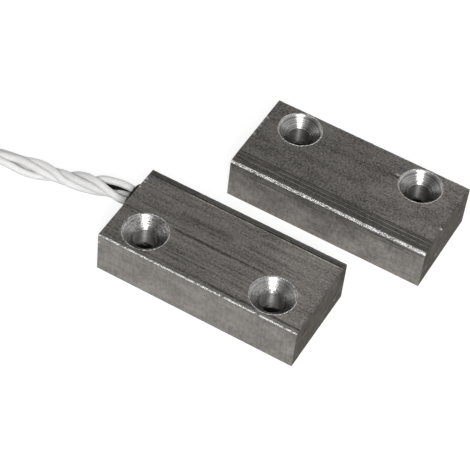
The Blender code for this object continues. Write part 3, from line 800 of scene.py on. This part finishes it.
def holed_face(block, lines, start, end, up, radius):
    """A level face with its two holes, and the angles at which each hole's circle has points."""
    sheets, angles = [], []
    far = block["screws"][0][1] + CELL
    near_lines = np.linspace(start, far, CELL_STEPS + 1)
    far_lines = even(far, end)
    for index, along in enumerate(lines):
        if index % 2:
            centre = block["screws"][index // 2]
            rings, angle = around(square_loop(along, near_lines), centre, radius, CELL_RINGS)
            sheets.append(raised(rings, up))
            angles.append(angle)
        else:
            sheets.append(flat(along, near_lines, up))
        sheets.append(flat(along, far_lines, up))
    return sheets, angles, np.concatenate([near_lines, far_lines[1:]])


# %% Holes as turned profiles
RING_PITCH = 0.42
RING_WAVES = ((1.0, 2.0), (0.6, 5.3))  # each wave's weight, and its half turns in a pitch
RING_MARGIN = 0.03
RING_FADE = 0.3
CONE_STEPS = 55
# Out and up from the rim.
LIP = [(RIM_OUT, 0.0), (0.01, 0.03), (-0.04, 0.05), (-0.09, 0.035), (-0.13, -0.13)]


def countersunk(sink_radius, ring_height):
    """(radius, up) points down a screw hole: the raised lip, the ringed cone, the bore and its foot.

    The cone's rings are two sine waves, square to the cone, which fade out at both of its ends.
    """
    lip = np.array(LIP) + (sink_radius, HEIGHT)
    depth = lip[-1, 0] - SCREW_RADIUS
    along = np.linspace(0, 1, CONE_STEPS + 1)
    turn = np.pi * along * depth * np.sqrt(2) / RING_PITCH
    ripple = sum(weight * np.sin(rate * turn) for weight, rate in RING_WAVES)
    fade = np.sin(np.pi * np.clip(along, RING_MARGIN, 1 - RING_MARGIN)) ** RING_FADE
    ripple *= ring_height * fade / np.sqrt(2)
    ripple[[0, -1]] = 0
    cone = lip[-1] - np.outer(along, (depth, depth)) + ripple[:, None]
    bore = line(cone[-1], (SCREW_RADIUS, RIM_OUT), 20)
    foot = arc((SCREW_RADIUS + RIM_OUT, RIM_OUT), RIM_OUT, 180, 270, 3)
    return lip, cone, bore, foot


def turned_down(profile, centre, angle):
    """A (radius, up) profile turned about an upright axis. The angles may differ from row to row."""
    return raised(centre + profile[:, :1, None] * on_circle(angle), profile[:, 1:])


def screw_hole(block, centre, top_angle, foot_angle):
    """The sheets of one hole. Its bore eases from the top circle's angles to the foot circle's."""
    lip, cone, bore, foot = countersunk(block["sink_radius"], block["ring_height"])
    turning = line(np.unwrap(top_angle), np.unwrap(foot_angle), len(bore) - 1)
    return [
        (turned_down(lip, centre, top_angle), EDGE),
        (turned_down(cone, centre, top_angle), CONE),
        (turned_down(bore, centre, turning), BORE),
        (turned_down(foot, centre, foot_angle), BORE),
    ]


# %% Ends and long faces
BORE_RINGS = 12
MOUTH_RINGS = 12
FAR_RINGS = 8


def placed(rows, along):
    """Rows of (across, up) points at their places along the bar."""
    return np.dstack([np.broadcast_to(along, rows.shape[:2]), rows])


def swept(profile, lines):
    """An (across, up) profile carried along the bar."""
    along = np.concatenate([lines[0], *[part[1:] for part in lines[1:]]])
    return placed(np.broadcast_to(profile, (len(along), *profile.shape)), along[:, None])


def blind_bore(depth, angle):
    """The bore from the lead end: a straight wall and the drill's point."""
    marks = np.append(np.linspace(0, depth, BORE_RINGS), depth + DRILL_POINT)
    radius = np.append(np.full(BORE_RINGS, BORE_RADIUS), 0.0)[:, None, None]
    return placed(BORE_AT + radius * on_circle(angle), marks[:, None])


def block_sheets(block):
    """Every sheet of a block in its own frame, with its material number."""
    lines = along_lines(block["screws"])
    active, plain_runs = block["active"], plain_side()
    top_end = active[0][0][0, 0]
    rim_radius = block["sink_radius"] + RIM_OUT
    top, top_angles, top_lines = holed_face(block, lines, PLAIN_RADIUS, top_end, HEIGHT, rim_radius)
    foot_face = (FOOT_RADIUS, WIDTH - FOOT_RADIUS, 0, SCREW_RADIUS + RIM_OUT)
    bottom, foot_angles, bottom_lines = holed_face(block, lines, *foot_face)
    sheets = [(sheet, TOP) for sheet in top] + [(sheet, SIDE) for sheet in bottom]
    sheets += [(swept(run, lines), kind) for run, kind in [*active, *plain_runs]]
    for hole in zip(block["screws"], top_angles, foot_angles):
        sheets += screw_hole(block, *hole)
    loop = joined(
        np.column_stack([top_lines, np.full(len(top_lines), HEIGHT)]),
        *[run for run, kind in active],
        np.column_stack([bottom_lines[::-1], np.zeros(len(bottom_lines))]),
        *[run for run, kind in plain_runs],
    )
    mouth_rings, mouth_angle = around(loop, BORE_AT, BORE_RADIUS, MOUTH_RINGS)
    sheets.append((placed(mouth_rings, 0.0), SAWN))
    sheets.append((placed(line((WIDTH / 2, HEIGHT / 2), loop, FAR_RINGS), LENGTH), SAWN))
    sheets.append((blind_bore(block["bore_depth"], mouth_angle), BORE))
    return sheets


# %% Wear of the edges
DENT_PERIODS = (0.9, 1.37, 2.3, 5.1)
DENT_DEPTH = 0.05
DENT_REACH = 0.9


def waves(along, shift):
    """A wandering value from 0 to 1: the mean of sine waves whose periods share no multiple."""
    phases = [2 * np.pi * along / period + shift * n for n, period in enumerate(DENT_PERIODS, 1)]
    return 0.5 + sum(np.sin(phase) for phase in phases) / (2 * len(phases))


def worn(points):
    """Rounds the sawn ends and dents the long top edges.

    Near an end, points are held inside an outline that shrinks along a quarter circle. Near a long
    top edge, they move towards the bar's inside by a depth that wanders along the edge.
    """
    along, across, up = np.moveaxis(points, -1, 0)
    near = np.clip(np.minimum(along, LENGTH - along), 0, END_EDGE)
    inset = END_EDGE - np.sqrt(END_EDGE**2 - (END_EDGE - near) ** 2)
    across = np.clip(across, inset, WIDTH - inset)
    up = np.minimum(np.maximum(up, inset), np.where(inset > 0, HEIGHT - inset, up))
    for edge, inwards, shift in ((0.0, 1, 1.3), (WIDTH, -1, 2.9)):
        close = eased(1 - np.hypot(across - edge, up - HEIGHT) / DENT_REACH)
        dent = DENT_DEPTH * close * waves(along, shift)
        across = across + inwards * dent
        up = up - dent
    return np.stack([along, across, up], axis=-1)


def stood(block, points):
    """From a block's own frame to the world's, in millimetres."""
    points = worn(points)
    if block["active_front"]:
        points = points * (1, -1, 1) + (0, WIDTH, 0)
    return points + block["corner"]


# %% [markdown]
# ## Finishes of the metal
#
# One noise over the whole bar would look like stone, because every face was made in its own way.
# So each face has its own finish: the sum of a few noises, stretched along the grain where the
# die drew lines, times the lines and scores that can be picked out one by one. Those are listed
# with their place, half width, start, end and depth. A negative depth is a bright line. The bright
# lines are painted glints, and one dark line is a painted shadow.

# %% Grain and scores
MARK_FADE = 0.6


def in_block(tree, block):
    """A block's own coordinates in millimetres, as one vector and as three numbers."""
    turned = -1 if block["active_front"] else 1
    x, y, z = block["corner"]
    offset = (-x, -turned * y + (WIDTH if turned < 0 else 0), -z)
    where = add(tree, "TexCoord").outputs["Object"]
    scale = (1 / MM, turned / MM, 1 / MM)
    own = add(tree, "Mapping", {"Vector": where, "Location": offset, "Scale": scale}).outputs["Vector"]
    split = add(tree, "SeparateXYZ", {"Vector": own})
    return own, [split.outputs[axis] for axis in "XYZ"]


def mixed_grain(where, layers):
    """A weighted sum of noises. Each layer is a weight, a scale on each axis and a detail."""
    total = 0.0
    for weight, scale, detail in layers:
        total = plus(total, times(grain(where, scale, detail), weight))
    return total


def scored(across, along, marks):
    """How dark the listed lines are. Each falls off from its middle, and fades in and out at its ends."""
    total = 0.0
    for middle, half, start, end, depth in marks:
        off = sums("ABSOLUTE", minus(across, middle))
        dark = ranged(off, 0, half, depth, 0)
        fade = min(MARK_FADE, (end - start) / 2)
        dark = times(dark, ranged(along, start - fade, start + fade, 0, 1))
        dark = times(dark, ranged(along, end - fade, end + fade, 1, 0))
        total = plus(total, dark)
    return total


# %% Building a metal finish
WARM = (1.0, 0.94, 0.87)
BRIGHT = (1.0, 0.985, 0.96)
MIXED_RANGE = (0.42, 0.58)  # a sum of noises keeps nearer to its middle than one does
GLOSS_SWING = 0.06
FAR_STRETCH = (20, 40)
FINE = (3.2, 3.2, 3.2)
FLECKS = (0.66, 0.74, 0, 0.9)  # the fine noise's range, and what it adds to the tone there
PITS = (0.26, 0.36, 0.6, 0)  # the same for what it takes away
WANDER = 0.5
WANDER_SCALE = (0.25, 0.25, 0.25)
BROKEN = (0.35, 0.6, 0.7, 1.2)
BROKEN_SCALE = (0.8, 1.6, 1.6)
SCORE_HEIGHT = 0.3
DARKEST = 0.05


def bare(name, tint, level, roughness):
    """A metal whose colour is a tint times a grey level."""
    colour = tuple(level * share for share in tint)
    return colour, *finish(name, colour, roughness, 1.0)


def metal(name, block, level, roughness, layers, swing, bump, marks=(), axes=(1, 0), tint=WARM, far=1.0):
    """Bare metal of a grey level, whose shade swings by a share either way.

    The tone moves to the far one towards the far end: painted light, lighter at that end. One fine
    noise gives bright pinpricks where it is highest and black pits where it is lowest. The marks
    wander a little, and are broken up.
    """
    colour, made, tree, shader = bare(name, tint, level, roughness)
    where, axis = in_block(tree, block)
    shade = mixed_grain(where, layers)
    tone = ranged(shade, *MIXED_RANGE, 1 - swing, 1 + swing)
    # Painted light: the tone grows towards the far end, as though lit more from that side.
    tone = times(tone, ranged(axis[0], *FAR_STRETCH, 1, far))
    fine = grain(where, FINE, 2)
    tone = plus(tone, ranged(fine, *FLECKS))
    tone = minus(tone, ranged(fine, *PITS))
    height = shade
    if marks:
        wander = times(grain(where, WANDER_SCALE, 2), WANDER)
        across = plus(axis[axes[0]], minus(wander, WANDER / 2))
        broken = ranged(grain(where, BROKEN_SCALE, 3), *BROKEN)
        lines = times(scored(across, axis[axes[1]], marks), broken)
        tone = times(tone, minus(1.0, lines))
        height = minus(shade, times(lines, SCORE_HEIGHT))
    tone = sums("MAXIMUM", tone, DARKEST)
    gloss = ranged(shade, *MIXED_RANGE, roughness + GLOSS_SWING, roughness - GLOSS_SWING)
    varied(shader, colour, tone, gloss, height, bump)
    return made


# %% Kinds of grain
# Each layer: its weight, its cycles per millimetre along, across and up, and its detail.
DRAWN = [
    (0.25, (0.05, 2.2, 2.2), 4),
    (0.36, (1.9, 2.2, 2.2), 5),
    (0.22, (3.6, 3.6, 3.6), 2),
    (0.17, (0.1, 0.3, 0.3), 3),
]
SPECKLED = [
    (0.46, (1.9, 2.2, 2.2), 5),
    (0.24, (3.6, 3.6, 3.6), 2),
    (0.14, (0.12, 0.7, 0.7), 3),
    (0.16, (0.18, 0.25, 0.25), 3),
]
UPRIGHT = [(0.2, (2.4, 2.4, 0.25), 3), (0.4, (1.3, 1.3, 1.3), 5), (0.4, (0.15, 0.25, 0.25), 3)]
ACROSS_SAW = [(0.5, (1.0, 0.35, 1.6), 4), (0.5, (1.5, 0.4, 0.4), 4)]
PATCHY = [(0.7, (2.2, 3.0, 3.0), 3), (0.3, (0.4, 0.6, 0.6), 2)]
print("weights of the drawn grain:", [weight for weight, scale, detail in DRAWN])

# %% Marks of the switch block
# The bright lines, with negative depths, are painted glints: on the ridge's burr and on burrs at the near
# end.
SWITCH_TOP_MARKS_AND_GLINTS = [
    (9.2, 0.45, 11.0, 24.0, 0.8), (9.2, 0.4, 24.0, 31.0, 0.6), (10.0, 60.0, 42.8, 43.4, 0.6),
    (9.2, 0.3, 0.0, 5.5, 0.4), (13.2, 0.9, 10.5, 22.0, 0.42), (13.1, 0.7, 25.0, 34.0, 0.22),
    (11.6, 0.3, 2.0, 14.0, 0.2), (1.25, 0.35, 0.5, 24.0, 0.4), (1.1, 0.4, 24.0, 43.0, 0.65),
    (4.0, 0.25, 13.0, 28.0, 0.2), (18.22, 0.16, 9.0, 43.0, -0.9), (17.2, 0.4, 0.0, 0.4, -2.5),
    (16.2, 0.3, 0.1, 0.5, -2.0), (14.6, 0.3, 0.0, 0.4, -2.0),
]
# The last, bright one is a painted glint at the near end.
SWITCH_SIDE_MARKS_AND_GLINT = [
    (7.7, 0.3, 1.0, 16.0, 0.16), (7.7, 0.25, 22.0, 31.0, 0.1), (9.3, 0.2, 36.0, 43.0, 0.35),
    (9.45, 0.2, 0.0, 36.0, 0.18), (7.9, 0.4, 0.1, 0.5, -1.6),
]
SWITCH_RAIL_MARKS_AND_SHADOW = [
    # The first line, just behind the ridge, is a painted shadow of the ridge. The others are marks.
    (18.6, 0.36, 0.0, 43.0, 0.85), (19.25, 0.6, 0.0, 11.0, 0.4), (19.2, 0.16, 11.0, 43.0, 0.5),
]
# A bright scratch, painted as a glint.
SWITCH_END_GLINT = [(16.4, 0.3, 2.3, 2.9, -2.5)]
print("marks on the switch block's top:", len(SWITCH_TOP_MARKS_AND_GLINTS))

# %% [markdown]
# The worn edges and the sawn ends are the same metal with other numbers. A countersink's rings
# follow the distance from its axis, which a noise along one line gives. A drilled wall has level
# rings too fine to model, so its gloss is stretched.

# %% Edges and sawn ends
# Painted shade: the sawn ends are darker than the rest of the bar, as though facing dark surroundings.
PAINTED_SHADE_END_LEVEL = 0.155
SLANT_TINT = (0.33, 0.32, 0.31)


def flecked_edge(name, block, level, roughness, bump):
    """Worn edges and lips: bright metal, so rough that it sparkles, with a painted highlight that makes
    them brighter than any metal's own colour.
    """
    return metal(name, block, level, roughness, PATCHY, 0.7, bump, tint=BRIGHT)


def sawn_end(name, block, marks):
    """A sawn end with faint streaks of the saw, painted dark as painted shade. Its tint keeps that painted
    shade at a slant too.
    """
    made = metal(name, block, PAINTED_SHADE_END_LEVEL, 0.5, ACROSS_SAW, 0.28, 0.06, marks, (1, 2))
    fill(made.node_tree.nodes["Principled BSDF"], {"Specular Tint": (*SLANT_TINT, 1)})
    return made


# %% Countersinks
TURNED = 3.2  # the rings' cycles per millimetre
TORN = (2.4, 2.4, 2.4)
WIDE_RANGE = (0.35, 0.65)
PITTED_RANGE, TURNED_RANGE, TORN_RANGE = (0.36, 0.52), (0.38, 0.6), (0.35, 0.6)
FAR_PITS = 0.4
FOOT_BAND = 0.3  # the torn metal round the foot of a countersink
FOOT_SHADE = 0.7
BARE_TONE = 1.1


def cut_metal(name, block, level, roughness, pits, rings, bump):
    """A countersink: torn pits, and rings that follow the distance from the hole's own axis."""
    colour, made, tree, shader = bare(name, BRIGHT, level, roughness)
    where, (along, across, up) = in_block(tree, block)
    apart = []
    for x, y in block["screws"]:
        squares = [times(value, value) for value in (minus(along, x), minus(across, y))]
        apart.append(sums("SQRT", plus(*squares)))
    radius = sums("MINIMUM", *apart)
    values = {"W": radius, "Scale": TURNED, "Detail": 2.0}
    turning = add(tree, "TexNoise", values, noise_dimensions="1D").outputs["Fac"]
    torn = grain(where, TORN, 4)
    depth = ranged(along, *FAR_STRETCH, pits, FAR_PITS * pits)
    pitted = minus(BARE_TONE, times(depth, ranged(torn, *PITTED_RANGE, 1, 0)))
    ringed = ranged(turning, *TURNED_RANGE, 1 - rings, BARE_TONE)
    ragged = plus(radius, ranged(torn, *WIDE_RANGE, -FOOT_BAND, FOOT_BAND))
    foot_end = SCREW_RADIUS + 2 * FOOT_BAND
    footed = ranged(ragged, SCREW_RADIUS, foot_end, 1 - FOOT_SHADE * pits, 1)
    tone = times(times(pitted, ringed), footed)
    gloss = ranged(torn, *TORN_RANGE, roughness + 0.1, roughness - 0.04)
    varied(shader, colour, tone, gloss, plus(torn, times(turning, rings)), bump)
    return made


# %% Bores
DRILLED = (0.9, 0.9, 3.0)
DRILLED_TONES = (0.38, 0.62, 0.75, 1.1)
DRILLED_ROUGHNESS = 0.6
DRILLED_BUMP = 0.02
# Painted shade in the bores: black below the first height, plain metal above the second, with a ragged
# border between.
SHADE_RAGGED = 0.5
PAINTED_SHADE_TOP, UNSHADED_FROM = 3.2, 4.4
PAINTED_SHADE_TONE = 0.02


def drilled_metal(name, level):
    """The wall of a bore, painted black deep down as painted shade.

    The drill left fine level rings, which stretch every highlight into an upright streak.
    """
    colour, made, tree, shader = bare(name, BRIGHT, level, DRILLED_ROUGHNESS)
    upright = add(tree, "CombineXYZ", {"Z": 1.0}).outputs["Vector"]
    fill(shader, {"Anisotropic": 1.0, "Tangent": upright})
    where = in_millimetres(tree)
    up = add(tree, "SeparateXYZ", {"Vector": where}).outputs["Z"]
    rings = grain(where, DRILLED, 3)
    ragged = plus(up, ranged(rings, *WIDE_RANGE, -SHADE_RAGGED, SHADE_RAGGED))
    # Painted shade: darker towards the bottom of the bore.
    unshaded_share = ranged(ragged, PAINTED_SHADE_TOP, UNSHADED_FROM, PAINTED_SHADE_TONE, 1)
    tone = times(unshaded_share, ranged(rings, *DRILLED_TONES))
    glosses = (DRILLED_ROUGHNESS - GLOSS_SWING, DRILLED_ROUGHNESS + GLOSS_SWING)
    gloss = ranged(rings, *WIDE_RANGE, *glosses)
    varied(shader, colour, tone, gloss, rings, DRILLED_BUMP)
    return made


# %% The switch block's finishes
SWITCH_LOOKS = [
    # far: painted light, the top growing lighter towards the far end.
    metal("drawn_top", SWITCH, 0.337, 0.42, DRAWN, 0.56, 0.1, SWITCH_TOP_MARKS_AND_GLINTS, far=1.25),
    metal("drawn_side", SWITCH, 0.23, 0.45, UPRIGHT, 0.2, 0.06, SWITCH_SIDE_MARKS_AND_GLINT, (2, 0)),
    metal("worn_rail", SWITCH, 0.24, 0.42, DRAWN, 0.35, 0.1, SWITCH_RAIL_MARKS_AND_SHADOW),
    flecked_edge("worn_edge_and_painted_highlight", SWITCH, 0.8, 0.34, 0.3),
    sawn_end("sawn_end", SWITCH, SWITCH_END_GLINT),
    cut_metal("torn_countersink", SWITCH, 0.48, 0.2, 0.8, 0.25, 0.038),
    drilled_metal("bright_bore", 0.56),
]
print("finishes of the switch block:", [look.name for look in SWITCH_LOOKS])

# %% Marks of the magnet block
# The bright lines, with negative depths, are painted glints on nicks and burrs. The others are marks.
MAGNET_TOP_MARKS_AND_GLINTS = [
    (6.2, 0.7, 12.0, 29.0, 0.26), (10.0, 60.0, 42.8, 43.4, 0.6), (5.4, 0.35, 28.2, 30.4, 0.8),
    (4.9, 0.4, 28.8, 29.7, -2.6), (12.8, 0.35, 42.5, 43.0, -4.0), (5.9, 0.4, 0.1, 0.6, -2.5),
    (7.4, 0.3, 0.0, 0.4, -2.0), (8.6, 0.3, 0.1, 0.5, -2.5), (11.1, 0.5, 0.0, 0.6, -2.0),
]
# A bright scratch, painted as a glint.
MAGNET_END_GLINT = [(13.3, 0.3, 2.5, 3.1, -2.5)]
GROOVE_STARTS = (0, 6, 0, 10, 0, 2)
MAGNET_RAIL_MARKS = [(groove, 0.19, start, 43.0, 0.55) for groove, start in zip(GROOVES, GROOVE_STARTS)]
MAGNET_RAIL_MARKS += [(17.28, 0.14, 9.0, 43.0, -0.8), (18.18, 0.14, 3.0, 43.0, -0.8)]
MAGNET_SIDE_MARKS = [
    (8.6, 1.1, 0.0, 43.0, 0.3), (7.75, 0.25, 1.0, 14.0, 0.5), (7.75, 0.25, 15.5, 23.0, 0.4),
    (7.75, 0.25, 26.0, 43.0, 0.35), (8.8, 0.22, 30.0, 43.0, 0.5),
]
print("marks on the magnet block's top:", len(MAGNET_TOP_MARKS_AND_GLINTS))

# %% The magnet block's finishes
MAGNET_LOOKS = [
    # far: painted light, the top and the side growing lighter towards the far end.
    metal("matt_top", MAGNET, 0.265, 0.46, SPECKLED, 0.58, 0.1, MAGNET_TOP_MARKS_AND_GLINTS, far=1.27),
    metal("matt_side", MAGNET, 0.2, 0.45, UPRIGHT, 0.26, 0.06, MAGNET_SIDE_MARKS, (2, 0), far=1.1),
    metal("grooved_rail", MAGNET, 0.22, 0.44, DRAWN, 0.34, 0.1, MAGNET_RAIL_MARKS),
    flecked_edge("bright_edge_and_painted_highlight", MAGNET, 1.0, 0.3, 0.4),
    sawn_end("sawn_far_end", MAGNET, MAGNET_END_GLINT),
    cut_metal("ringed_countersink", MAGNET, 0.52, 0.2, 0.35, 0.55, 0.025),
    drilled_metal("dull_bore", 0.4),
]
print("finishes of the magnet block:", [look.name for look in MAGNET_LOOKS])

# %% Both blocks
DRESSED = ((SWITCH, "switch_block", SWITCH_LOOKS), (MAGNET, "magnet_block", MAGNET_LOOKS))
for block, name, looks in DRESSED:
    sheets = [(stood(block, sheet), kind) for sheet, kind in block_sheets(block)]
    made = piece(name, sheets, looks)
    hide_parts(block["node"])

# %% [markdown]
# ## The pieces inside
#
# The capsule, the magnet and the casting keep the solids' own shapes. They get finishes too,
# because the parts may be looked at one by one.

# %% Finishes of the pieces inside
INSIDE = {
    "switch_resin": RESIN,
    "magnet_seal": RESIN,
    "bar_magnet": plain("cast_magnet", (0.33, 0.32, 0.31), 0.42, 1.0, (1.2, 1.2, 1.2), 0.04),
    "reed_glass": plain("capsule_glass", (0.6, 0.75, 0.66), 0.06, 0.0, (0.3, 0.3, 0.3), 0.005),
    "reed_blade_near": plain("nickel_iron", (0.6, 0.58, 0.54), 0.28, 1.0, (0.2, 4, 4), 0.01),
    "solder_joint_near": plain("solder", (0.7, 0.7, 0.71), 0.25, 1.0, (2.5, 2.5, 2.5), 0.03),
}
INSIDE["reed_blade_far"] = INSIDE["reed_blade_near"]
INSIDE["solder_joint_far"] = INSIDE["solder_joint_near"]
INSIDE |= {node: INSULATION for node in ("reed_wire_near", "reed_wire_far", "tamper_loop_wire")}
for node, look in INSIDE.items():
    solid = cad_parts[node]
    solid.data.materials.clear()
    solid.data.materials.append(look)
print("finished", len(INSIDE), "nodes")

# %% [markdown]
# ## The cord
#
# The cord's centreline is the line that the wires were wound about.

print("cord from the nose of the casting,", len(LEAD_PATH), "points")
